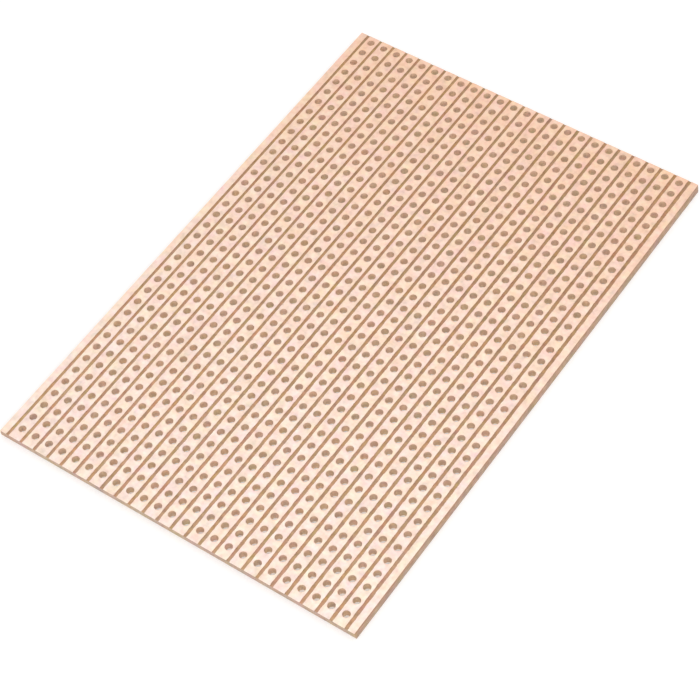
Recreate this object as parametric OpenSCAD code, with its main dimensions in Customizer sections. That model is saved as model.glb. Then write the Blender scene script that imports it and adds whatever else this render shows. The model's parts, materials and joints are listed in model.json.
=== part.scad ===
// Drilled strip board: a hard-paper laminate sheet with parallel copper strips
// on one face and a square grid of through holes.
// X runs across the strips, Y along them, and Z up through the copper face.

/* [Board] */
// Width of the copper face, across the strips
board_w = 63.8; // [20:0.1:130]
// Length of the copper face, along the strips
board_l = 94.7; // [20:0.1:170]
// Thickness of the board with its copper
board_t = 1.4; // [0.8:0.1:3.2]
// How far the shear makes each side lean out, from the copper face to the underside
side_lean = 0.2; // [0:0.05:0.3]
// How far the shear makes each end draw in, from the copper face to the underside
end_lean = 0.15; // [0:0.05:0.25]

/* [Holes] */
// Distance between neighbouring hole centres, both ways
pitch = 2.54; // [2.4:0.01:5.08]
// Diameter of every hole
hole_d = 1.2; // [0.8:0.05:1.4]
// Distance from the near end of the copper to the first row of holes
first_row = 2; // [1.2:0.1:4]
// Least distance from the last row of holes to the far end
last_row_min = 1.2; // [1:0.1:4]

/* [Copper] */
// Thickness of the copper foil
foil_t = 0.035; // [0.02:0.005:0.14]
// Width of the groove between two strips
groove_w = 0.5; // [0.3:0.05:0.8]
// Depth to which each groove is cut into the laminate under the foil
groove_cut = 0.05; // [0.02:0.01:0.2]
// Least width of the plain strip left along each side of the board
side_strip_min = 1; // [0.5:0.1:3]

/* [Hidden] */
// Laminate under the foil
laminate_t = board_t - foil_t;
// Width of one drilled strip of copper
strip_w = pitch - groove_w;
// Drilled strips that fit between the two plain side strips
strips = floor((board_w - groove_w - 2 * side_strip_min) / pitch);
// Holes along each strip
rows = floor((board_l - first_row - last_row_min) / pitch) + 1;
// Width of the plain strip along each side
side_strip_w = (board_w - strips * pitch - groove_w) / 2;
// How far a cutting shape runs past the faces that it cuts
overrun = 1;
// Facets of a hole's outline, above twelve so that it stays a true circle
hole_facets = 32;

copper_colour = [0.97, 0.84, 0.74];
laminate_colour = [0.70, 0.55, 0.43];

function strip_x(i) = (i - (strips + 1) / 2) * pitch;
function groove_x(i) = (i - strips / 2) * pitch;
function row_y(j) = first_row + (j - 1) * pitch - board_l / 2;
function strip_name(i) = str("copper_strip_", i < 10 ? "0" : "", i);

// Cross-section of the laminate, as wide as top at the foil and as bottom on the underside
module laminate_section(top, bottom) {
    polygon([
        [-bottom / 2, 0],
        [bottom / 2, 0],
        [top / 2, laminate_t],
        [-top / 2, laminate_t],
    ]);
}

// The laminate as sheared out of a large sheet: leaning sides, and ends that draw in
module sheared_blank() {
    intersection() {
        rotate([90, 0, 0])
            linear_extrude(board_l + 2 * overrun, center = true)
                laminate_section(board_w, board_w + 2 * side_lean);
        rotate([90, 0, 90])
            linear_extrude(board_w + 2 * (side_lean + overrun), center = true)
                laminate_section(board_l, board_l - 2 * end_lean);
    }
}

// One strip's holes, as circles along the middle of the strip at x = 0
module hole_row() {
    for (j = [1 : rows])
        translate([0, row_y(j)])
            circle(d = hole_d, $fn = hole_facets);
}

// A flat length of copper foil from end to end of the board, centred on x = 0
module foil_outline(width) {
    square([width, board_l], center = true);
}

// Sheet larger than the board, drilled with every hole of the grid
module drilled_sheet() {
    linear_extrude(laminate_t)
        difference() {
            square([board_w + 2 * (side_lean + overrun), board_l + 2 * overrun], center = true);
            for (i = [1 : strips])
                translate([strip_x(i), 0])
                    hole_row();
        }
}

// Laminate with every hole through it and a shallow groove between strips
module base_board() {
    color(laminate_colour)
        difference() {
            intersection() {
                drilled_sheet();
                sheared_blank();
            }
            for (i = [0 : strips])
                translate([groove_x(i), 0, laminate_t - groove_cut])
                    linear_extrude(groove_cut + overrun)
                        square([groove_w, board_l + 2 * overrun], center = true);
        }
}

// One drilled copper strip, bonded to the top of the laminate
module copper_strip(i) {
    color(copper_colour)
        translate([strip_x(i), 0, laminate_t])
            linear_extrude(foil_t)
                difference() {
                    foil_outline(strip_w);
                    hole_row();
                }
}

// Plain copper left along one side of the board: side is -1 on the left, 1 on the right
module side_strip(side) {
    color(copper_colour)
        translate([side * (board_w - side_strip_w) / 2, 0, laminate_t])
            linear_extrude(foil_t)
                foil_outline(side_strip_w);
}

base_board();
side_strip(-1);  // side_strip_left
side_strip(1);  // side_strip_right
for (i = [1 : strips])
    copper_strip(i);
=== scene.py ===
"""Drilled copper strip board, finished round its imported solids.

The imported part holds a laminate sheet, drilled copper strips and a plain copper
strip along each side. This script reads their sizes and gives them their finishes.
It adds the lips that the drill leaves round the holes and the burrs that the cutter
leaves along the grooves, and lays the board on a pale floor under soft studio light.
"""

from __future__ import annotations

import json
import logging
import math
from dataclasses import dataclass
from enum import Enum
from typing import ClassVar

import bmesh
import bpy
from mathutils import Matrix, Vector

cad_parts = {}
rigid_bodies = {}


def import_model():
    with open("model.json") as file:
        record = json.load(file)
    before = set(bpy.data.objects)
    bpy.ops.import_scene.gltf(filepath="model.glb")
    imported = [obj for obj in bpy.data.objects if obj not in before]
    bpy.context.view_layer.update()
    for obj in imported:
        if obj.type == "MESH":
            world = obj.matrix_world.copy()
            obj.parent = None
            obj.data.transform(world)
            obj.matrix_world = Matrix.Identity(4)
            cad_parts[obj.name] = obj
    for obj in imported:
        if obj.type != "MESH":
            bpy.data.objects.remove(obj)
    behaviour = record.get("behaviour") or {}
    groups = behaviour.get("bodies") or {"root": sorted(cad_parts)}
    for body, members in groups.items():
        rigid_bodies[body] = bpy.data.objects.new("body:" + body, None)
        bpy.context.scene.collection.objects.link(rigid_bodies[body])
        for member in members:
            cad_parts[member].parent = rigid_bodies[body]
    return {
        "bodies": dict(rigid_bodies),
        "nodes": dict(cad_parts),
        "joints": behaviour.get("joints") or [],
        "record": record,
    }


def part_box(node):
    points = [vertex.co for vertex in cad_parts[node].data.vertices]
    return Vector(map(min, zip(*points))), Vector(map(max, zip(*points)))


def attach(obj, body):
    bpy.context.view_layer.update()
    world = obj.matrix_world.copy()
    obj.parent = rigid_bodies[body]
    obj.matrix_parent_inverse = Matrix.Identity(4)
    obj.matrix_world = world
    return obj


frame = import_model()

LOG = logging.getLogger("strip_board")
BODY = "root"
MM = 0.001
SECTION_CORNERS = ("Foot", "Crest", "Brow", "Root")

Colour = tuple[float, float, float]
Number = float | bpy.types.NodeSocket
Triple = tuple[float, float, float] | bpy.types.NodeSocket


class Slot(Enum):
    """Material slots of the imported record."""

    COPPER = "copper"
    LAMINATE = "laminate"


def linear(colour: Colour) -> tuple[float, float, float, float]:
    """Turns a colour as a screen shows it into the linear colour of a shader.

    Args:
        colour: Red, green and blue from 0 to 1, as seen on a screen.

    Returns:
        Linear red, green and blue, with an alpha of 1.
    """
    parts = [c / 12.92 if c <= 0.04045 else ((c + 0.055) / 1.055) ** 2.4 for c in colour]
    return (parts[0], parts[1], parts[2], 1.0)


@dataclass(frozen=True)
class BoardLayout:
    """Sizes and places of the board in metres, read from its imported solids."""

    width: float
    length: float
    thickness: float
    foil: float
    pitch: float
    groove: float
    hole_radius: float
    first_x: float
    first_y: float
    columns: int
    rows: int
    copper_nodes: tuple[str, ...]
    laminate_nodes: tuple[str, ...]

    @classmethod
    def from_frame(cls, packed: dict) -> BoardLayout:
        """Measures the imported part.


        Returns:
            The layout of the board.
        """
        strips = sorted(name for name in packed["nodes"] if name.startswith("copper_strip_"))
        copper = tuple(sorted(name for name in packed["nodes"] if "strip" in name))
        laminate = tuple(sorted(set(packed["nodes"]) - set(copper)))
        underside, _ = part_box("base_board")
        left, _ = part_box("side_strip_left")
        _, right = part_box("side_strip_right")
        first_low, first_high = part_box(strips[0])
        second_low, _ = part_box(strips[1])
        mounts = {mount["name"]: mount for mount in packed["record"]["mounts"]}
        first_hole = mounts["lead_hole_first"]
        last_hole = mounts["lead_hole_last"]
        pitch = second_low.x - first_low.x
        return cls(
            width=right.x - left.x,
            length=right.y - left.y,
            thickness=first_high.z - underside.z,
            foil=first_high.z - first_low.z,
            pitch=pitch,
            groove=pitch - (first_high.x - first_low.x),
            hole_radius=first_hole["dims"]["r_mm"] * MM,
            first_x=first_hole["pos_m"][0],
            first_y=first_hole["pos_m"][1],
            columns=len(strips),
            rows=round((last_hole["pos_m"][1] - first_hole["pos_m"][1]) / pitch) + 1,
            copper_nodes=copper,
            laminate_nodes=laminate,
        )

    @property
    def span(self) -> tuple[float, float]:
        """How far the hole grid reaches from its first hole to its last, across and along."""
        return ((self.columns - 1) * self.pitch, (self.rows - 1) * self.pitch)

    @property
    def centre(self) -> Vector:
        """The middle of the copper face."""
        return Vector((0.0, 0.0, self.thickness))


class Wiring:
    """Adds nodes to one tree and joins them, so that a finish reads as its steps."""

    def __init__(self, tree: bpy.types.NodeTree) -> None:
        """Starts with an empty tree.

        Args:
            tree: The tree that gets the nodes.
        """
        self.tree = tree
        tree.nodes.clear()

    def node(self, kind: str, **settings: object) -> bpy.types.Node:
        """Adds a node.

        Args:
            kind: The node's type name.
            **settings: Attributes of the node, such as its operation.

        Returns:
            The new node.
        """
        made = self.tree.nodes.new(kind)
        for name, value in settings.items():
            setattr(made, name, value)
        return made

    def feed(self, socket: bpy.types.NodeSocket, value: object) -> None:
        """Links a socket to value, or sets it where value is plain.

        Args:
            socket: The input to feed.
            value: An output socket, a number, a vector or a colour.
        """
        if isinstance(value, bpy.types.NodeSocket):
            self.tree.links.new(value, socket)
        else:
            socket.default_value = value

    def step(self, kind: str, given: dict[str, object], **settings: object) -> bpy.types.Node:
        """Adds a node and feeds its inputs.

        Args:
            kind: The node's type name.
            given: What each input gets, by name.
            **settings: Attributes of the node, such as its mode.

        Returns:
            The new node.
        """
        made = self.node(kind, **settings)
        for name, value in given.items():
            self.feed(made.inputs[name], value)
        return made

    def maths(self, operation: str, *terms: Number) -> bpy.types.NodeSocket:
        """Adds one step of arithmetic.

        Args:
            operation: The Math node's operation.
            *terms: One, two or three numbers or sockets.

        Returns:
            The result's socket.
        """
        step = self.node("ShaderNodeMath", operation=operation)
        for socket, term in zip(step.inputs, terms):
            self.feed(socket, term)
        return step.outputs[0]

    def vector_maths(self, operation: str, *terms: Triple) -> bpy.types.NodeSocket:
        """Adds one step of vector arithmetic.

        Args:
            operation: The Vector Math node's operation.
            *terms: One, two or three vectors or sockets.

        Returns:
            The result's socket.
        """
        step = self.node("ShaderNodeVectorMath", operation=operation)
        for socket, term in zip(step.inputs, terms):
            self.feed(socket, term)
        return step.outputs["Value" if operation == "DISTANCE" else "Vector"]

    def triple(self, x: Number = 0.0, y: Number = 0.0, z: Number = 0.0) -> bpy.types.NodeSocket:
        """Joins three numbers into a vector.

        Args:
            x: The first part.
            y: The second part.
            z: The third part.

        Returns:
            The vector's socket.
        """
        return self.step("ShaderNodeCombineXYZ", {"X": x, "Y": y, "Z": z}).outputs[0]

    def parts(self, vector: Triple) -> bpy.types.NodeOutputs:
        """Splits a vector.

        Args:
            vector: The vector or its socket.

        Returns:
            The sockets of its parts, named X, Y and Z.
        """
        return self.step("ShaderNodeSeparateXYZ", {"Vector": vector}).outputs

    def noise(self, vector: Triple, scale: Number, detail: float,
              roughness: float = 0.5) -> bpy.types.NodeOutputs:
        """Adds uneven noise.

        Args:
            vector: Where the noise is read.
            scale: How many patches there are to a unit.
            detail: How many finer layers lie over them.
            roughness: How strong the finer layers are.

        Returns:
            The noise node's outputs.
        """
        return self.step("ShaderNodeTexNoise", {"Vector": vector, "Scale": scale, "Detail": detail,
                                                "Roughness": roughness}).outputs

    def ramp(self, value: Number, low: Number, high: Number, start: Number = 0.0,
             end: Number = 1.0, smooth: bool = True) -> bpy.types.NodeSocket:
        """Maps value between low and high to start and end, and holds it there outside.

        Args:
            value: The number to map.
            low: Where the result is start.
            high: Where the result is end.
            start: The result at low.
            end: The result at high.
            smooth: Whether the change eases in and out.

        Returns:
            The result's socket.
        """
        return self.step("ShaderNodeMapRange",
                         {"Value": value, "From Min": low, "From Max": high, "To Min": start, "To Max": end},
                         interpolation_type="SMOOTHSTEP" if smooth else "LINEAR").outputs[0]

    def mix_colour(self, factor: Number, first: object, second: object) -> bpy.types.NodeSocket:
        """Mixes two colours.

        Args:
            factor: The share of the second colour.
            first: A colour or socket.
            second: A colour or socket.

        Returns:
            The mixed colour's socket.
        """
        step = self.node("ShaderNodeMix", data_type="RGBA")
        self.feed(step.inputs["Factor"], factor)
        self.feed(step.inputs[6], first)
        self.feed(step.inputs[7], second)
        return step.outputs[2]

    def bump(self, height: Number, strength: float, depth: float) -> bpy.types.NodeSocket:
        """Tilts the surface as a relief of its own would.

        Args:
            height: The relief, from 0 to 1.
            strength: How much of it shows.
            depth: How high 1 stands, in metres.

        Returns:
            The socket of the tilted normal.
        """
        return self.step("ShaderNodeBump", {"Strength": strength, "Distance": depth,
                                            "Height": height}).outputs["Normal"]

    def place(self, group: bpy.types.NodeTree, **values: object) -> bpy.types.NodeOutputs:
        """Places a shared node group and feeds its inputs.

        Args:
            group: The shared group.
            **values: What each input gets, with a space written as an underscore.

        Returns:
            The outputs of the group's node.
        """
        given = {name.replace("_", " "): value for name, value in values.items()}
        return self.step("ShaderNodeGroup", given, node_tree=group).outputs


def cutter_depth(wiring: Wiring, place: bpy.types.NodeSocket, shallow: Number,
                 deep: Number) -> bpy.types.NodeSocket:
    """Follows how deep the groove cutter ran, least at the far left and most at the near right.

    Args:
        wiring: The wiring of a shader or of a shape.
        place: The place on the board in metres.
        shallow: The result at the far left.
        deep: The result at the near right.

    Returns:
        The result's socket.
    """
    far_left, near_right, share_of_y = -50.0 * MM, 10.0 * MM, -0.5
    parts = wiring.parts(place)
    across = wiring.maths("MULTIPLY_ADD", parts["Y"], share_of_y, parts["X"])
    return wiring.ramp(across, far_left, near_right, shallow, deep, smooth=False)


class SharedEffect:
    """A shader node group that is built once and placed in more than one finish."""

    title: ClassVar[str] = ""
    inputs: ClassVar[dict[str, tuple[str, object]]] = {}
    outputs: ClassVar[dict[str, str]] = {}

    @classmethod
    def group(cls) -> bpy.types.NodeTree:
        """Gives the group, built on the first call.

        Returns:
            The shared shader node tree.
        """
        known = bpy.data.node_groups.get(cls.title)
        if known is not None:
            return known
        tree = bpy.data.node_groups.new(cls.title, "ShaderNodeTree")
        for name, (kind, value) in cls.inputs.items():
            socket = tree.interface.new_socket(name, in_out="INPUT", socket_type=kind)
            socket.default_value = value
        for name, kind in cls.outputs.items():
            tree.interface.new_socket(name, in_out="OUTPUT", socket_type=kind)
        wiring = Wiring(tree)
        entry = wiring.node("NodeGroupInput")
        wiring.step("NodeGroupOutput", cls.wire(wiring, entry.outputs))
        return tree

    @classmethod
    def wire(cls, wiring: Wiring, given: bpy.types.NodeOutputs) -> dict[str, object]:
        """Builds the inside of the group.

        Args:
            wiring: The group's wiring.
            given: The sockets of the group's inputs.

        Returns:
            The result of each output, by name.
        """
        raise NotImplementedError


class BoardPlaces(SharedEffect):
    """How far a point is from the nearest hole, groove and cut edge of the board."""

    title = "Board Places"
    inputs = {
        "Coordinates": ("NodeSocketVector", (0.0, 0.0, 0.0)),
        "Pitch": ("NodeSocketFloat", 2.54 * MM),
        "First Hole": ("NodeSocketVector", (0.0, 0.0, 0.0)),
        "Last Hole": ("NodeSocketVector", (0.0, 0.0, 0.0)),
        "Half Size": ("NodeSocketVector", (0.0, 0.0, 0.0)),
    }
    outputs = {
        "Hole Distance": "NodeSocketFloat",
        "Groove Distance": "NodeSocketFloat",
        "Edge Distance": "NodeSocketFloat",
    }

    @classmethod
    def wire(cls, wiring: Wiring, given: bpy.types.NodeOutputs) -> dict[str, object]:
        """Finds the nearest hole by rounding to the grid, and the groove half a step away.

        Args:
            wiring: The group's wiring.
            given: The sockets of the group's inputs.

        Returns:
            The three distances, by name.
        """
        flat = wiring.vector_maths("MULTIPLY", given["Coordinates"], (1.0, 1.0, 0.0))
        first, last, pitch = given["First Hole"], given["Last Hole"], given["Pitch"]
        hole = cls._nearest(wiring, flat, first, last, pitch)
        half_step = wiring.triple(wiring.maths("MULTIPLY", pitch, 0.5))
        groove = cls._nearest(wiring, flat, wiring.vector_maths("SUBTRACT", first, half_step),
                              wiring.vector_maths("ADD", last, half_step), pitch)
        across = wiring.parts(wiring.vector_maths("SUBTRACT", flat, groove))
        spread = wiring.vector_maths("ABSOLUTE", flat)
        inward = wiring.parts(wiring.vector_maths("SUBTRACT", given["Half Size"], spread))
        return {
            "Hole Distance": wiring.vector_maths("DISTANCE", flat, hole),
            "Groove Distance": wiring.maths("ABSOLUTE", across["X"]),
            "Edge Distance": wiring.maths("MINIMUM", inward["X"], inward["Y"]),
        }

    @staticmethod
    def _nearest(wiring: Wiring, point: Triple, first: Triple, last: Triple,
                 pitch: Number) -> bpy.types.NodeSocket:
        """Gives the point of a square grid that is nearest to point.

        Args:
            wiring: The group's wiring.
            point: Where the surface is.
            first: The grid's first point.
            last: The grid's last point.
            pitch: The grid's step.

        Returns:
            The nearest grid point's socket.
        """
        step = wiring.triple(pitch, pitch, pitch)
        half_step = wiring.vector_maths("MULTIPLY", step, (0.5, 0.5, 0.0))
        offset = wiring.vector_maths("ADD", wiring.vector_maths("SUBTRACT", point, first), half_step)
        on_grid = wiring.vector_maths("ADD", wiring.vector_maths("SNAP", offset, step), first)
        return wiring.vector_maths("MINIMUM", wiring.vector_maths("MAXIMUM", on_grid, first), last)


class MottledTint(SharedEffect):
    """Uneven colour: soft patches that are a little redder, greener, bluer, lighter or darker."""

    title = "Mottled Tint"
    inputs = {
        "Coordinates": ("NodeSocketVector", (0.0, 0.0, 0.0)),
        "Colour": ("NodeSocketColor", (0.5, 0.5, 0.5, 1.0)),
        "Size": ("NodeSocketFloat", 2.5 * MM),
        "Hue": ("NodeSocketFloat", 0.3),
        "Shade": ("NodeSocketFloat", 0.2),
    }
    outputs = {"Colour": "NodeSocketColor"}

    @classmethod
    def wire(cls, wiring: Wiring, given: bpy.types.NodeOutputs) -> dict[str, object]:
        """Multiplies the colour by noise of its own in each channel, most in blue, and in all.

        Args:
            wiring: The group's wiring.
            given: The sockets of the group's inputs.

        Returns:
            The mottled colour, by name.
        """
        share_of_hue, elsewhere = (0.8, 0.8, 1.6), (7.0, 3.0, 5.0)
        size, strength = given["Size"], given["Hue"]
        broad = wiring.vector_maths("DIVIDE", given["Coordinates"], wiring.triple(size, size, size))
        hue = wiring.noise(broad, 1.0, 2.0)
        shade = wiring.noise(wiring.vector_maths("ADD", broad, elsewhere), 2.4, 3.0)
        swing = wiring.vector_maths("SUBTRACT", hue["Color"], (0.5, 0.5, 0.5))
        swing = wiring.vector_maths("MULTIPLY", swing, share_of_hue)
        swing = wiring.vector_maths("MULTIPLY", swing, wiring.triple(strength, strength, strength))
        dim = wiring.maths("MULTIPLY", wiring.maths("SUBTRACT", shade["Fac"], 0.5), given["Shade"])
        level = wiring.maths("ADD", dim, 1.0)
        factor = wiring.vector_maths("ADD", swing, wiring.triple(level, level, level))
        return {"Colour": wiring.vector_maths("MULTIPLY", given["Colour"], factor)}


class RaggedEdge(SharedEffect):
    """Marks small bites along an edge, as a cutter leaves them."""

    title = "Ragged Edge"
    inputs = {
        "Coordinates": ("NodeSocketVector", (0.0, 0.0, 0.0)),
        "Distance": ("NodeSocketFloat", 0.0),
        "Depth": ("NodeSocketFloat", 0.06 * MM),
        "Size": ("NodeSocketFloat", 0.8 * MM),
    }
    outputs = {"Mask": "NodeSocketFloat"}

    @classmethod
    def wire(cls, wiring: Wiring, given: bpy.types.NodeOutputs) -> dict[str, object]:
        """Compares the distance from the edge with a depth that noise varies.

        Args:
            wiring: The group's wiring.
            given: The sockets of the group's inputs.

        Returns:
            The mask of the bites, by name.
        """
        noise = wiring.noise(given["Coordinates"], wiring.maths("DIVIDE", 1.0, given["Size"]), 2.0)
        bite = wiring.ramp(noise["Fac"], 0.35, 0.65, 0.0, given["Depth"], smooth=False)
        over = wiring.maths("SUBTRACT", bite, given["Distance"])
        softness = wiring.maths("MULTIPLY", given["Depth"], 0.15)
        return {"Mask": wiring.ramp(over, 0.0, softness)}


class DrawnLines(SharedEffect):
    """Fine lines along the board, as rolling, brushing and cutting leave them."""

    title = "Drawn Lines"
    inputs = {
        "Coordinates": ("NodeSocketVector", (0.0, 0.0, 0.0)),
        "Spacing": ("NodeSocketFloat", 0.1 * MM),
        "Length": ("NodeSocketFloat", 10.0 * MM),
    }
    outputs = {"Mask": "NodeSocketFloat"}

    @classmethod
    def wire(cls, wiring: Wiring, given: bpy.types.NodeOutputs) -> dict[str, object]:
        """Draws noise out along Y.

        Args:
            wiring: The group's wiring.
            given: The sockets of the group's inputs.

        Returns:
            The mask of the lines, by name.
        """
        size = wiring.triple(given["Spacing"], given["Length"], given["Spacing"])
        noise = wiring.noise(wiring.vector_maths("DIVIDE", given["Coordinates"], size), 1.0, 2.0)
        return {"Mask": wiring.ramp(noise["Fac"], 0.3, 0.7)}


class PaperLayers(SharedEffect):
    """The layers of paper in the laminate, flat and fibrous, as a cut lays them open."""

    title = "Paper Layers"
    inputs = {
        "Coordinates": ("NodeSocketVector", (0.0, 0.0, 0.0)),
        "Thickness": ("NodeSocketFloat", 0.09 * MM),
        "Length": ("NodeSocketFloat", 1.8 * MM),
    }
    outputs = {"Mask": "NodeSocketFloat"}

    @classmethod
    def wire(cls, wiring: Wiring, given: bpy.types.NodeOutputs) -> dict[str, object]:
        """Stretches noise along the board and across it.

        Args:
            wiring: The group's wiring.
            given: The sockets of the group's inputs.

        Returns:
            The mask of the layers, by name.
        """
        size = wiring.triple(given["Length"], given["Length"], given["Thickness"])
        noise = wiring.noise(wiring.vector_maths("DIVIDE", given["Coordinates"], size), 1.0, 4.0, 0.65)
        return {"Mask": wiring.ramp(noise["Fac"], 0.35, 0.65)}


@dataclass(frozen=True)
class Finish:
    """A finish of the board, which makes one material."""

    title: str
    roughness: float

    def start(self) -> tuple[bpy.types.Material, Wiring, bpy.types.Node]:
        """Makes an empty material.

        Returns:
            The material, its wiring and its Principled shader.
        """
        material = bpy.data.materials.new(self.title)
        material.use_nodes = True
        wiring = Wiring(material.node_tree)
        shader = wiring.node("ShaderNodeBsdfPrincipled")
        wiring.step("ShaderNodeOutputMaterial", {"Surface": shader.outputs["BSDF"]})
        return material, wiring, shader

    @staticmethod
    def along_board(wiring: Wiring, coordinates: bpy.types.NodeSocket,
                    layout: BoardLayout) -> bpy.types.NodeSocket:
        """Gives the place along the board, from 0 at the near end to 1 at the far one.

        Args:
            wiring: The material's wiring.
            coordinates: The place on the piece.
            layout: The board's sizes.

        Returns:
            The place's socket.
        """
        half = layout.length / 2
        return wiring.ramp(wiring.parts(coordinates)["Y"], -half, half, smooth=False)

    @staticmethod
    def places(wiring: Wiring, coordinates: bpy.types.NodeSocket,
               layout: BoardLayout) -> bpy.types.NodeOutputs:
        """Finds the nearest hole, groove and cut edge.

        Args:
            wiring: The material's wiring.
            coordinates: The place on the piece.
            layout: The board's sizes.

        Returns:
            The sockets of the distances to them.
        """
        span_x, span_y = layout.span
        return wiring.place(
            BoardPlaces.group(),
            Coordinates=coordinates,
            Pitch=layout.pitch,
            First_Hole=(layout.first_x, layout.first_y, 0.0),
            Last_Hole=(layout.first_x + span_x, layout.first_y + span_y, 0.0),
            Half_Size=(layout.width / 2, layout.length / 2, 1.0),
        )


@dataclass(frozen=True)
class CopperFinish(Finish):
    """Satin copper foil, paler towards the near end, where the colour carries a painted sheen."""

    title: str = "satin_copper"
    roughness: float = 0.42
    # The copper is paler at the near end than at the far end: painted sheen, fading towards the far end.
    near_with_painted_sheen: Colour = (1.0, 0.902, 0.842)
    far_with_less_sheen: Colour = (1.0, 0.838, 0.735)
    torn: Colour = (0.66, 0.49, 0.36)
    sheen_falloff: float = 1.6
    patch: float = 2.1 * MM
    patch_hue: float = 0.24
    patch_shade: float = 0.52
    line_spacing: float = 0.06 * MM
    line_length: float = 4.0 * MM
    line_depth: float = 0.01 * MM
    line_strength: float = 0.12
    line_polish: float = 0.04
    line_dulling: float = 0.05
    rim_bite: float = 0.012 * MM
    rim_bite_size: float = 0.5 * MM
    groove_bite_shallow: float = 0.02 * MM
    groove_bite_deep: float = 0.065 * MM
    groove_bite_size: float = 1.1 * MM
    bitten: bool = True

    def material(self, layout: BoardLayout) -> bpy.types.Material:
        """Makes the copper.

        Args:
            layout: The board's sizes.

        Returns:
            The material.
        """
        material, wiring, shader = self.start()
        coordinates = wiring.node("ShaderNodeTexCoord").outputs["Object"]
        # Painted sheen: the colour pales towards the near end of the board.
        painted_light_fade = wiring.maths("POWER", self.along_board(wiring, coordinates, layout), self.sheen_falloff)
        body = wiring.mix_colour(painted_light_fade, linear(self.near_with_painted_sheen), linear(self.far_with_less_sheen))
        body = wiring.place(MottledTint.group(), Coordinates=coordinates, Colour=body, Size=self.patch,
                            Hue=self.patch_hue, Shade=self.patch_shade)["Colour"]
        metallic = 1.0
        if self.bitten:
            bare = self._bites(wiring, coordinates, layout)
            body = wiring.mix_colour(bare, body, linear(self.torn))
            metallic = wiring.maths("SUBTRACT", 1.0, bare)
        grain = wiring.place(DrawnLines.group(), Coordinates=coordinates, Spacing=self.line_spacing,
                             Length=self.line_length)["Mask"]
        rough = wiring.ramp(grain, 0.0, 1.0, self.roughness - self.line_polish,
                            self.roughness + self.line_dulling, smooth=False)
        relief = wiring.bump(grain, self.line_strength, self.line_depth)
        wiring.feed(shader.inputs["Base Color"], body)
        wiring.feed(shader.inputs["Metallic"], metallic)
        wiring.feed(shader.inputs["Roughness"], rough)
        wiring.feed(shader.inputs["Normal"], relief)
        return material

    def _bites(self, wiring: Wiring, coordinates: bpy.types.NodeSocket,
               layout: BoardLayout) -> bpy.types.NodeSocket:
        """Marks where the foil is torn away along the holes and grooves.

        Args:
            wiring: The material's wiring.
            coordinates: The place on the piece.
            layout: The board's sizes.

        Returns:
            The mask's socket.
        """
        near = self.places(wiring, coordinates, layout)
        from_hole = wiring.maths("SUBTRACT", near["Hole Distance"], layout.hole_radius)
        from_groove = wiring.maths("SUBTRACT", near["Groove Distance"], layout.groove / 2)
        depth = cutter_depth(wiring, coordinates, self.groove_bite_shallow, self.groove_bite_deep)
        rim = wiring.place(RaggedEdge.group(), Coordinates=coordinates, Distance=from_hole,
                           Depth=self.rim_bite, Size=self.rim_bite_size)
        side = wiring.place(RaggedEdge.group(), Coordinates=coordinates, Distance=from_groove,
                            Depth=depth, Size=self.groove_bite_size)
        return wiring.maths("MAXIMUM", rim["Mask"], side["Mask"])


@dataclass(frozen=True)
class LaminateZones:
    """Which part of the laminate a point belongs to, as sockets."""

    coordinates: bpy.types.NodeSocket
    upright: bpy.types.NodeSocket
    at_end: bpy.types.NodeSocket
    below: bpy.types.NodeSocket
    deep: bpy.types.NodeSocket
    from_hole: bpy.types.NodeSocket
    sawn: bpy.types.NodeSocket
    bored: bpy.types.NodeSocket


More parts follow.
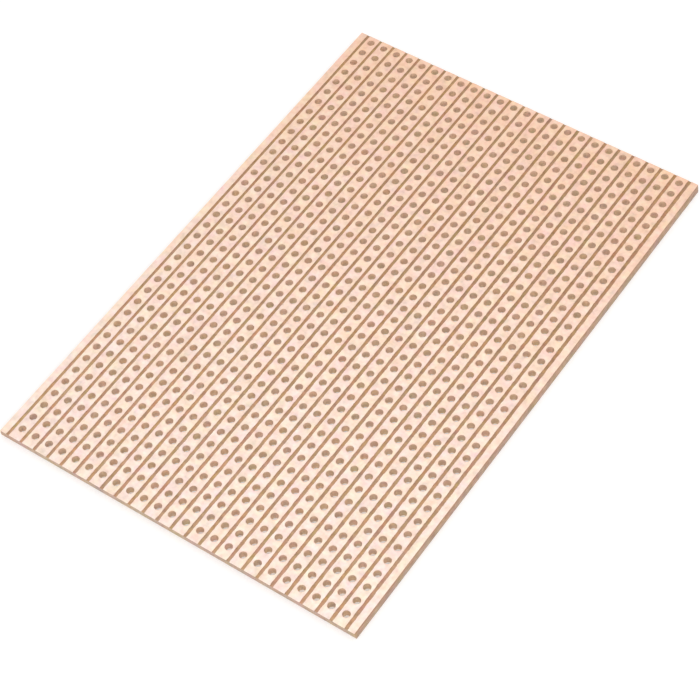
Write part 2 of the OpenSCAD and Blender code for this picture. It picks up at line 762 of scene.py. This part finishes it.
@dataclass(frozen=True)
class LaminateFinish(Finish):
    """Brown hard paper: resin-rich faces, layers of paper where it is cut, crazed round the holes below."""

    title: str = "hard_paper"
    roughness: float = 0.55
    # The faces darken and turn yellower from the near end to the far end: painted shade, the same fall of
    # light as on the copper.
    resin: Colour = (0.770, 0.600, 0.455)
    resin_in_painted_shade: Colour = (0.712, 0.543, 0.383)
    side_cut: Colour = (0.655, 0.488, 0.380)
    side_cut_low: Colour = (0.662, 0.560, 0.484)
    # The end faces are paler than the side faces: painted light on the end faces.
    end_cut: Colour = (0.705, 0.603, 0.527)
    # The walls of the holes are much paler than the faces, and paler still lower down: partly the paler
    # punched paper, partly painted light standing in for light through the laminate and up from the floor.
    bore: Colour = (0.905, 0.787, 0.686)
    bore_low: Colour = (0.926, 0.841, 0.744)
    crazed: Colour = (0.840, 0.715, 0.575)
    patch: float = 1.8 * MM
    patch_hue: float = 0.6
    patch_hue_plain: float = 0.3
    patch_shade: float = 0.8
    patch_shade_plain: float = 0.7
    crazing_depth: float = 0.12 * MM
    crazing_size: float = 0.35 * MM
    whitened_reach: float = 0.4 * MM
    whitened_share: float = 0.4
    line_spacing: float = 0.05 * MM
    line_length: float = 1.5 * MM
    line_share: float = 0.5
    layer_tint: float = 0.35
    layer_share: float = 0.8
    cut_dulling: float = 0.3
    underside_polish: float = 0.15
    relief_depth: float = 0.02 * MM
    relief_strength: float = 0.35

    def material(self, layout: BoardLayout) -> bpy.types.Material:
        """Makes the laminate.

        Args:
            layout: The board's sizes.

        Returns:
            The material.
        """
        material, wiring, shader = self.start()
        zones = self._zones(wiring, layout)
        layers = wiring.place(PaperLayers.group(), Coordinates=zones.coordinates)["Mask"]
        broken = self._broken(wiring, zones)
        body = self._body(wiring, zones, layout)
        body = self._mottled(wiring, zones, wiring.mix_colour(broken, body, linear(self.crazed)))
        layered = wiring.maths("MULTIPLY", wiring.maths("MULTIPLY", layers, zones.sawn), self.layer_tint)
        dulling = wiring.maths("MULTIPLY", zones.sawn, self.cut_dulling)
        polish = wiring.maths("MULTIPLY", zones.below, self.underside_polish)
        rough = wiring.maths("SUBTRACT", wiring.maths("ADD", self.roughness, dulling), polish)
        height = self._height(wiring, zones, layers, broken)
        relief = wiring.bump(height, self.relief_strength, self.relief_depth)
        wiring.feed(shader.inputs["Base Color"], wiring.mix_colour(layered, body, linear(self.bore)))
        wiring.feed(shader.inputs["Roughness"], rough)
        wiring.feed(shader.inputs["Normal"], relief)
        return material

    def _zones(self, wiring: Wiring, layout: BoardLayout) -> LaminateZones:
        """Tells the faces, cut edges, hole walls and underside apart.

        Args:
            wiring: The material's wiring.
            layout: The board's sizes.

        Returns:
            The zones.
        """
        texture = wiring.node("ShaderNodeTexCoord").outputs
        facing_way = wiring.parts(texture["Normal"])
        near = self.places(wiring, texture["Object"], layout)
        upright = wiring.ramp(wiring.maths("ABSOLUTE", facing_way["Z"]), 0.5, 0.6, 1.0, 0.0)
        from_hole = wiring.maths("SUBTRACT", near["Hole Distance"], layout.hole_radius)
        by_edge = wiring.ramp(near["Edge Distance"], 0.2 * MM, 0.3 * MM, 1.0, 0.0)
        by_hole = wiring.ramp(from_hole, 0.02 * MM, 0.04 * MM, 1.0, 0.0)
        return LaminateZones(
            coordinates=texture["Object"],
            upright=upright,
            at_end=wiring.ramp(wiring.maths("ABSOLUTE", facing_way["Y"]), 0.6, 0.8),
            below=wiring.ramp(facing_way["Z"], -0.6, -0.5, 1.0, 0.0),
            deep=wiring.ramp(wiring.parts(texture["Object"])["Z"], layout.thickness, 0.0),
            from_hole=from_hole,
            sawn=wiring.maths("MULTIPLY", upright, by_edge),
            bored=wiring.maths("MULTIPLY", upright, by_hole),
        )

    def _body(self, wiring: Wiring, zones: LaminateZones, layout: BoardLayout) -> bpy.types.NodeSocket:
        """Colours the faces, the cut edges and the walls of the holes.

        Args:
            wiring: The material's wiring.
            zones: The parts of the laminate.
            layout: The board's sizes.

        Returns:
            The colour's socket.
        """
        # Painted shade: the faces darken towards the far end.
        painted_light_fade = wiring.ramp(self.along_board(wiring, zones.coordinates, layout), 0.0, 0.8)
        faces = wiring.mix_colour(painted_light_fade, linear(self.resin), linear(self.resin_in_painted_shade))
        side_cut = wiring.mix_colour(zones.deep, linear(self.side_cut), linear(self.side_cut_low))
        # Painted light: the end faces get a paler colour than the side faces.
        cut = wiring.mix_colour(zones.at_end, side_cut, linear(self.end_cut))
        # Painted light in the holes: their walls are paler than the paper alone, most of all low down.
        bore = wiring.mix_colour(zones.deep, linear(self.bore), linear(self.bore_low))
        return wiring.mix_colour(zones.bored, wiring.mix_colour(zones.sawn, faces, cut), bore)

    def _broken(self, wiring: Wiring, zones: LaminateZones) -> bpy.types.NodeSocket:
        """Marks the whitened, crazed paper round the holes on the underside.

        Args:
            wiring: The material's wiring.
            zones: The parts of the laminate.

        Returns:
            The mask's socket.
        """
        halo = wiring.ramp(zones.from_hole, 0.05 * MM, self.whitened_reach, self.whitened_share, 0.0)
        torn = wiring.place(RaggedEdge.group(), Coordinates=zones.coordinates, Distance=zones.from_hole,
                            Depth=self.crazing_depth, Size=self.crazing_size)["Mask"]
        return wiring.maths("MULTIPLY", wiring.maths("MAXIMUM", halo, torn), zones.below)

    def _mottled(self, wiring: Wiring, zones: LaminateZones,
                 body: bpy.types.NodeSocket) -> bpy.types.NodeSocket:
        """Mottles the colour, less in the holes and on the underside than elsewhere.

        Args:
            wiring: The material's wiring.
            zones: The parts of the laminate.
            body: The even colour.

        Returns:
            The colour's socket.
        """
        plain = wiring.maths("MAXIMUM", zones.bored, zones.below)
        return wiring.place(
            MottledTint.group(),
            Coordinates=zones.coordinates,
            Colour=body,
            Size=self.patch,
            Hue=wiring.ramp(plain, 0.0, 1.0, self.patch_hue, self.patch_hue_plain),
            Shade=wiring.ramp(plain, 0.0, 1.0, self.patch_shade, self.patch_shade_plain),
        )["Colour"]

    def _height(self, wiring: Wiring, zones: LaminateZones, layers: bpy.types.NodeSocket,
                broken: bpy.types.NodeSocket) -> bpy.types.NodeSocket:
        """Gives the height of the paper's layers, the cutter's lines and the crazing.

        Args:
            wiring: The material's wiring.
            zones: The parts of the laminate.
            layers: The mask of the paper's layers.
            broken: The mask of the crazed paper.

        Returns:
            The height's socket.
        """
        milled = wiring.place(DrawnLines.group(), Coordinates=zones.coordinates,
                              Spacing=self.line_spacing, Length=self.line_length)["Mask"]
        bared = wiring.maths("ADD", wiring.maths("MULTIPLY", zones.upright, self.layer_share),
                             1.0 - self.layer_share)
        marks = wiring.maths("SUBTRACT", wiring.maths("MULTIPLY", milled, self.line_share), broken)
        return wiring.maths("ADD", wiring.maths("MULTIPLY", layers, bared), marks)


def section_corner(outward: float, upward: float) -> tuple[str, tuple[float, float, float]]:
    """Gives one corner of a lip's or burr's section, whose second axis points down.

    Args:
        outward: How far the corner lies outside the edge of the hole or groove.
        upward: How far it stands above the foil.

    Returns:
        The socket type and the value of the corner.
    """
    return ("NodeSocketVector", (outward, -upward, 0.0))


def turn_outwards(mesh: bpy.types.Mesh, smooth: bool) -> None:
    """Turns the faces of closed shapes outwards.

    Args:
        mesh: The mesh to mend.
        smooth: Whether its faces are shaded as one rounded surface.
    """
    editable = bmesh.new()
    editable.from_mesh(mesh)
    bmesh.ops.recalc_face_normals(editable, faces=editable.faces)
    for face in editable.faces:
        face.smooth = smooth
    editable.to_mesh(mesh)
    editable.free()


class ShapeTree:
    """A Geometry Nodes tree with named inputs, which makes one piece of copper."""

    def __init__(self, title: str, inputs: dict[str, tuple[str, object]],
                 material: bpy.types.Material) -> None:
        """Starts the tree with its inputs and its one output.

        Args:
            title: The name of the piece that the tree makes.
            inputs: The socket type and the value of each input, by name.
            material: The copper.
        """
        self.title = title
        self.tree = bpy.data.node_groups.new(title + "_tree", "GeometryNodeTree")
        self.values: dict[str, object] = {}
        for name, (kind, value) in {**inputs, "Material": ("NodeSocketMaterial", material)}.items():
            socket = self.tree.interface.new_socket(name, in_out="INPUT", socket_type=kind)
            self.values[socket.identifier] = value
        self.tree.interface.new_socket("Geometry", in_out="OUTPUT", socket_type="NodeSocketGeometry")
        self.wiring = Wiring(self.tree)
        self.given = self.wiring.node("NodeGroupInput").outputs

    def section(self, mirror: Triple = (1.0, 1.0, 1.0)) -> bpy.types.NodeSocket:
        """Draws a section from the four inputs that hold its corners.

        Args:
            mirror: What each corner is multiplied by, to turn the section round.

        Returns:
            The section's socket.
        """
        corners = {f"Point {number}": self.wiring.vector_maths("MULTIPLY", self.given[name], mirror)
                   for number, name in enumerate(SECTION_CORNERS, start=1)}
        return self.wiring.step("GeometryNodeCurvePrimitiveQuadrilateral", corners,
                                mode="POINTS").outputs["Curve"]

    def finish(self, shape: bpy.types.NodeSocket, smooth: bool) -> bpy.types.Object:
        """Ends the tree in real faces that carry their material, and makes the piece.

        Args:
            shape: The shape to end on.
            smooth: Whether its faces are shaded as one rounded surface.

        Returns:
            The piece, on the board's body and carrying the copper as its material.
        """
        real = self.wiring.step("GeometryNodeRealizeInstances", {"Geometry": shape})
        dressed = self.wiring.step("GeometryNodeSetMaterial", {
            "Geometry": real.outputs[0], "Material": self.given["Material"]})
        self.wiring.step("NodeGroupOutput", {"Geometry": dressed.outputs[0]})
        piece = self._evaluated()
        turn_outwards(piece.data, smooth)
        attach(piece, BODY)
        LOG.info("%s: %d faces", piece.name, len(piece.data.polygons))
        return piece

    def _evaluated(self) -> bpy.types.Object:
        """Runs the tree on an empty mesh.

        Returns:
            The piece as a plain mesh, linked to the scene, at the origin and with no modifier.
        """
        piece = bpy.data.objects.new(self.title, bpy.data.meshes.new(self.title + "_seed"))
        bpy.context.scene.collection.objects.link(piece)
        modifier = piece.modifiers.new(self.title, "NODES")
        modifier.node_group = self.tree
        for identifier, value in self.values.items():
            modifier[identifier] = value
        made = bpy.data.meshes.new_from_object(
            piece.evaluated_get(bpy.context.evaluated_depsgraph_get()))
        piece.modifiers.clear()
        piece.data = made
        made.name = self.title
        return piece


@dataclass(frozen=True)
class HoleLips:
    """The rolled lip of copper that the drill leaves round each hole."""

    layout: BoardLayout
    segments: int = 16
    foot: float = 0.08 * MM
    crest: float = 0.025 * MM
    height: float = 0.014 * MM
    overhang: float = 0.018 * MM

    def make(self, material: bpy.types.Material) -> bpy.types.Object:
        """Makes the lips of all holes as one piece.

        Args:
            material: The copper.

        Returns:
            The piece.
        """
        layout = self.layout
        span_x, span_y = layout.span
        middle = (layout.first_x + span_x / 2, layout.first_y + span_y / 2, layout.thickness)
        shape = ShapeTree("hole_lips", {
            "Columns": ("NodeSocketInt", layout.columns),
            "Rows": ("NodeSocketInt", layout.rows),
            "Span X": ("NodeSocketFloat", span_x),
            "Span Y": ("NodeSocketFloat", span_y),
            "Middle": ("NodeSocketVector", middle),
            "Hole Radius": ("NodeSocketFloat", layout.hole_radius),
            "Segments": ("NodeSocketInt", self.segments),
            "Foot": section_corner(self.foot, -self.overhang / 2),
            "Crest": section_corner(self.crest, self.height),
            "Brow": section_corner(-self.overhang, -self.overhang),
            "Root": section_corner(self.overhang, -layout.foil),
        }, material)
        wiring, given = shape.wiring, shape.given
        grid = wiring.step("GeometryNodeMeshGrid", {
            "Size X": given["Span X"], "Size Y": given["Span Y"],
            "Vertices X": given["Columns"], "Vertices Y": given["Rows"]})
        centres = wiring.step("GeometryNodeTransform", {
            "Geometry": grid.outputs["Mesh"], "Translation": given["Middle"]})
        circle = wiring.step("GeometryNodeCurvePrimitiveCircle", {
            "Resolution": given["Segments"], "Radius": given["Hole Radius"]})
        ring = wiring.step("GeometryNodeCurveToMesh", {
            "Curve": circle.outputs["Curve"], "Profile Curve": shape.section()})
        rings = wiring.step("GeometryNodeInstanceOnPoints", {
            "Points": centres.outputs[0], "Instance": ring.outputs[0]})
        return shape.finish(rings.outputs[0], smooth=True)


@dataclass(frozen=True)
class GrooveBurrs:
    """The uneven burr along both sides of each groove, widest where the cutter ran shallow."""

    layout: BoardLayout
    step: float = 0.3 * MM
    wave: float = 0.9 * MM
    foot: float = 0.04 * MM
    crest: float = 0.012 * MM
    height: float = 0.006 * MM
    overhang: float = 0.03 * MM
    thinnest: float = 0.3
    thickest: float = 1.7
    share_where_deep: float = 0.2
    seed: float = 3.0

    def make(self, material: bpy.types.Material) -> bpy.types.Object:
        """Makes the burrs of all grooves as one piece.

        Args:
            material: The copper.

        Returns:
            The piece.
        """
        layout = self.layout
        first_groove = (layout.first_x - layout.pitch / 2, 0.0, layout.thickness)
        shape = ShapeTree("groove_burrs", {
            "Grooves": ("NodeSocketInt", layout.columns + 1),
            "Pitch": ("NodeSocketVector", (layout.pitch, 0.0, 0.0)),
            "First Groove": ("NodeSocketVector", first_groove),
            "Half Groove": ("NodeSocketVector", (layout.groove / 2, 0.0, 0.0)),
            "Near End": ("NodeSocketVector", (0.0, -layout.length / 2, 0.0)),
            "Far End": ("NodeSocketVector", (0.0, layout.length / 2, 0.0)),
            "Step": ("NodeSocketFloat", self.step),
            "Wave": ("NodeSocketFloat", self.wave),
            "Seed": ("NodeSocketFloat", self.seed),
            "Thinnest": ("NodeSocketFloat", self.thinnest),
            "Thickest": ("NodeSocketFloat", self.thickest),
            "Share Where Deep": ("NodeSocketFloat", self.share_where_deep),
            "Foot": section_corner(self.foot, -self.height / 4),
            "Crest": section_corner(self.crest, self.height),
            "Brow": section_corner(-self.overhang, -self.height / 2),
            "Root": section_corner(self.overhang / 4, -layout.foil),
        }, material)
        both = shape.wiring.node("GeometryNodeJoinGeometry")
        for side in (1.0, -1.0):
            shape.wiring.feed(both.inputs[0], self._side(shape, side))
        return shape.finish(both.outputs[0], smooth=False)

    def _side(self, shape: ShapeTree, side: float) -> bpy.types.NodeSocket:
        """Makes the burrs on one side of every groove.

        Args:
            shape: The tree that gets the nodes.
            side: 1 for the right side of each groove, -1 for its left side.

        Returns:
            The socket of the burrs.
        """
        wiring, given = shape.wiring, shape.given
        mirror = (side, 1.0, 1.0)
        starts = wiring.step("GeometryNodeMeshLine", {
            "Count": given["Grooves"],
            "Start Location": wiring.vector_maths(
                "MULTIPLY_ADD", given["Half Groove"], mirror, given["First Groove"]),
            "Offset": given["Pitch"],
        })
        edge = wiring.step("GeometryNodeCurvePrimitiveLine", {
            "Start": given["Near End"], "End": given["Far End"]})
        stepped = wiring.step("GeometryNodeResampleCurve", {
            "Curve": edge.outputs[0], "Length": given["Step"]}, mode="LENGTH")
        copies = wiring.step("GeometryNodeInstanceOnPoints", {
            "Points": starts.outputs[0], "Instance": stepped.outputs[0]})
        edges = wiring.step("GeometryNodeRealizeInstances", {"Geometry": copies.outputs[0]})
        return wiring.step("GeometryNodeCurveToMesh", {
            "Curve": edges.outputs[0],
            "Profile Curve": shape.section(mirror),
            "Scale": self._thickness(wiring, given),
            "Fill Caps": True,
        }).outputs[0]

    @staticmethod
    def _thickness(wiring: Wiring, given: bpy.types.NodeOutputs) -> bpy.types.NodeSocket:
        """Varies the burr along the grooves and over the board.

        Args:
            wiring: The tree's wiring.
            given: The tree's inputs.

        Returns:
            The socket of the burr's scale.
        """
        noise = wiring.step("ShaderNodeTexNoise", {
            "W": given["Seed"],
            "Scale": wiring.maths("DIVIDE", 1.0, given["Wave"]),
            "Detail": 3.0,
        }, noise_dimensions="4D")
        uneven = wiring.ramp(noise.outputs[0], 0.3, 0.7, given["Thinnest"], given["Thickest"],
                             smooth=False)
        place = wiring.node("GeometryNodeInputPosition").outputs[0]
        worn = cutter_depth(wiring, place, 1.0, given["Share Where Deep"])
        return wiring.maths("MULTIPLY", uneven, worn)


@dataclass(frozen=True)
class Board:
    """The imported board, dressed in its finishes."""

    layout: BoardLayout
    copper: CopperFinish
    burr: CopperFinish
    laminate: LaminateFinish

    def dress(self) -> None:
        """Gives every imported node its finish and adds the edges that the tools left."""
        for names, finish in ((self.layout.copper_nodes, self.copper),
                              (self.layout.laminate_nodes, self.laminate)):
            material = finish.material(self.layout)
            for name in names:
                for slot in frame["nodes"][name].material_slots:
                    slot.material = material
            LOG.info("%s on %d nodes", material.name, len(names))
        whole_copper = self.burr.material(self.layout)
        HoleLips(self.layout).make(whole_copper)
        GrooveBurrs(self.layout).make(whole_copper)


@dataclass(frozen=True)
class PaleFloor:
    """A pale floor that runs out to white and keeps the shadow of the board."""

    half_size: float = 3.0
    gap: float = 0.05 * MM
    colour: Colour = (0.90, 0.90, 0.90)
    glow: float = 0.32

    def lay(self) -> None:
        """Lays the floor under the board."""
        reach = self.half_size
        corners = [(x * reach, y * reach, -self.gap) for x, y in ((-1, -1), (1, -1), (1, 1), (-1, 1))]
        mesh = bpy.data.meshes.new("floor")
        mesh.from_pydata(corners, [], [(0, 1, 2, 3)])
        mesh.materials.append(self.material())
        floor = bpy.data.objects.new("floor", mesh)
        bpy.context.scene.collection.objects.link(floor)
        LOG.info("floor %.1f m across", 2 * reach)

    def material(self) -> bpy.types.Material:
        """Makes a matt floor with a faint glow, clear when it is looked at from below.

        Returns:
            The material.
        """
        material = bpy.data.materials.new("pale_floor")
        material.use_nodes = True
        wiring = Wiring(material.node_tree)
        matt = wiring.step("ShaderNodeBsdfDiffuse", {"Color": linear(self.colour)})
        glow = wiring.step("ShaderNodeEmission", {"Strength": self.glow})
        clear = wiring.node("ShaderNodeBsdfTransparent")
        both = wiring.node("ShaderNodeAddShader")
        wiring.feed(both.inputs[0], matt.outputs[0])
        wiring.feed(both.inputs[1], glow.outputs[0])
        from_below = wiring.node("ShaderNodeMixShader")
        wiring.feed(from_below.inputs[0], wiring.node("ShaderNodeNewGeometry").outputs["Backfacing"])
        wiring.feed(from_below.inputs[1], both.outputs[0])
        wiring.feed(from_below.inputs[2], clear.outputs[0])
        wiring.step("ShaderNodeOutputMaterial", {"Surface": from_below.outputs[0]})
        return material


def facing(target: Vector, azimuth: float, elevation: float, distance: float,
           roll: float = 0.0) -> Matrix:
    """Gives the place of a lamp or camera that looks at target.

    Args:
        target: The point that it looks at.
        azimuth: Where it stands, in degrees: 0 in front of the board, 90 on its right.
        elevation: Its height above the floor, in degrees.
        distance: How far away it is, in metres.
        roll: How far it is turned about its own line of sight, in degrees.

    Returns:
        Its matrix in the world.
    """
    turn, rise = math.radians(azimuth), math.radians(elevation)
    back = Vector((math.sin(turn) * math.cos(rise), -math.cos(turn) * math.cos(rise), math.sin(rise)))
    aim = (-back).to_track_quat("-Z", "Y").to_matrix().to_4x4()
    return Matrix.Translation(target + back * distance) @ aim @ Matrix.Rotation(math.radians(roll), 4, "Z")


@dataclass(frozen=True)
class SoftBox:
    """One square lamp, aimed at the board."""

    title: str
    azimuth: float
    elevation: float
    distance: float
    size: float
    power: float

    def hang(self, target: Vector) -> None:
        """Hangs the lamp.

        Args:
            target: The point that the lamp faces.
        """
        light = bpy.data.lights.new(self.title, "AREA")
        light.shape = "SQUARE"
        light.size = self.size
        light.energy = self.power
        lamp = bpy.data.objects.new(self.title, light)
        lamp.matrix_world = facing(target, self.azimuth, self.elevation, self.distance)
        bpy.context.scene.collection.objects.link(lamp)
        LOG.info("%s at %.1f W", self.title, self.power)


@dataclass(frozen=True)
class Studio:
    """Soft studio light round the board: two lamps and an even fill."""

    back: SoftBox = SoftBox("back_box", azimuth=220.0, elevation=68.0, distance=0.9, size=0.52, power=0.49)
    front: SoftBox = SoftBox("front_box", azimuth=40.0, elevation=38.0, distance=0.9, size=1.25, power=2.6)
    fill: float = 0.81

    def light(self, target: Vector) -> None:
        """Hangs the lamps and sets the light from all round.

        Args:
            target: The point that the lamps face.
        """
        self.back.hang(target)
        self.front.hang(target)
        world = bpy.data.worlds.new("studio")
        bpy.context.scene.world = world
        world.use_nodes = True
        wiring = Wiring(world.node_tree)
        white = linear((1.0, 1.0, 1.0))
        background = wiring.step("ShaderNodeBackground", {"Color": white, "Strength": self.fill})
        wiring.step("ShaderNodeOutputWorld", {"Surface": background.outputs[0]})


@dataclass(frozen=True)
class Viewpoint:
    """A long lens that looks down on the board from its front right."""

    lens: float = 118.9
    sensor: float = 36.0
    azimuth: float = 39.84
    elevation: float = 53.40
    distance: float = 0.3464
    aim: tuple[float, float] = (3.82 * MM, -7.79 * MM)
    roll: float = -6.42
    clip: tuple[float, float] = (0.01, 20.0)

    def place(self, layout: BoardLayout) -> None:
        """Makes the camera and hands it to the scene.

        Args:
            layout: The board's sizes.
        """
        data = bpy.data.cameras.new("viewpoint")
        data.lens = self.lens
        data.sensor_width = self.sensor
        data.clip_start, data.clip_end = self.clip
        camera = bpy.data.objects.new("viewpoint", data)
        target = Vector((self.aim[0], self.aim[1], layout.thickness))
        camera.matrix_world = facing(target, self.azimuth, self.elevation, self.distance, self.roll)
        bpy.context.scene.collection.objects.link(camera)
        bpy.context.scene.camera = camera


def main() -> None:
    """Dresses the board and sets up its studio."""
    logging.basicConfig(level=logging.INFO, format="%(name)s: %(message)s")
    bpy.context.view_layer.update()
    layout = BoardLayout.from_frame(frame)
    LOG.info("board %s", layout)
    burr = CopperFinish(title="burred_copper", bitten=False)
    Board(layout, CopperFinish(), burr, LaminateFinish()).dress()
    PaleFloor().lay()
    Studio().light(layout.centre)
    Viewpoint().place(layout)
    bpy.context.scene.view_settings.view_transform = "Standard"


if __name__ == "__main__":
    main()
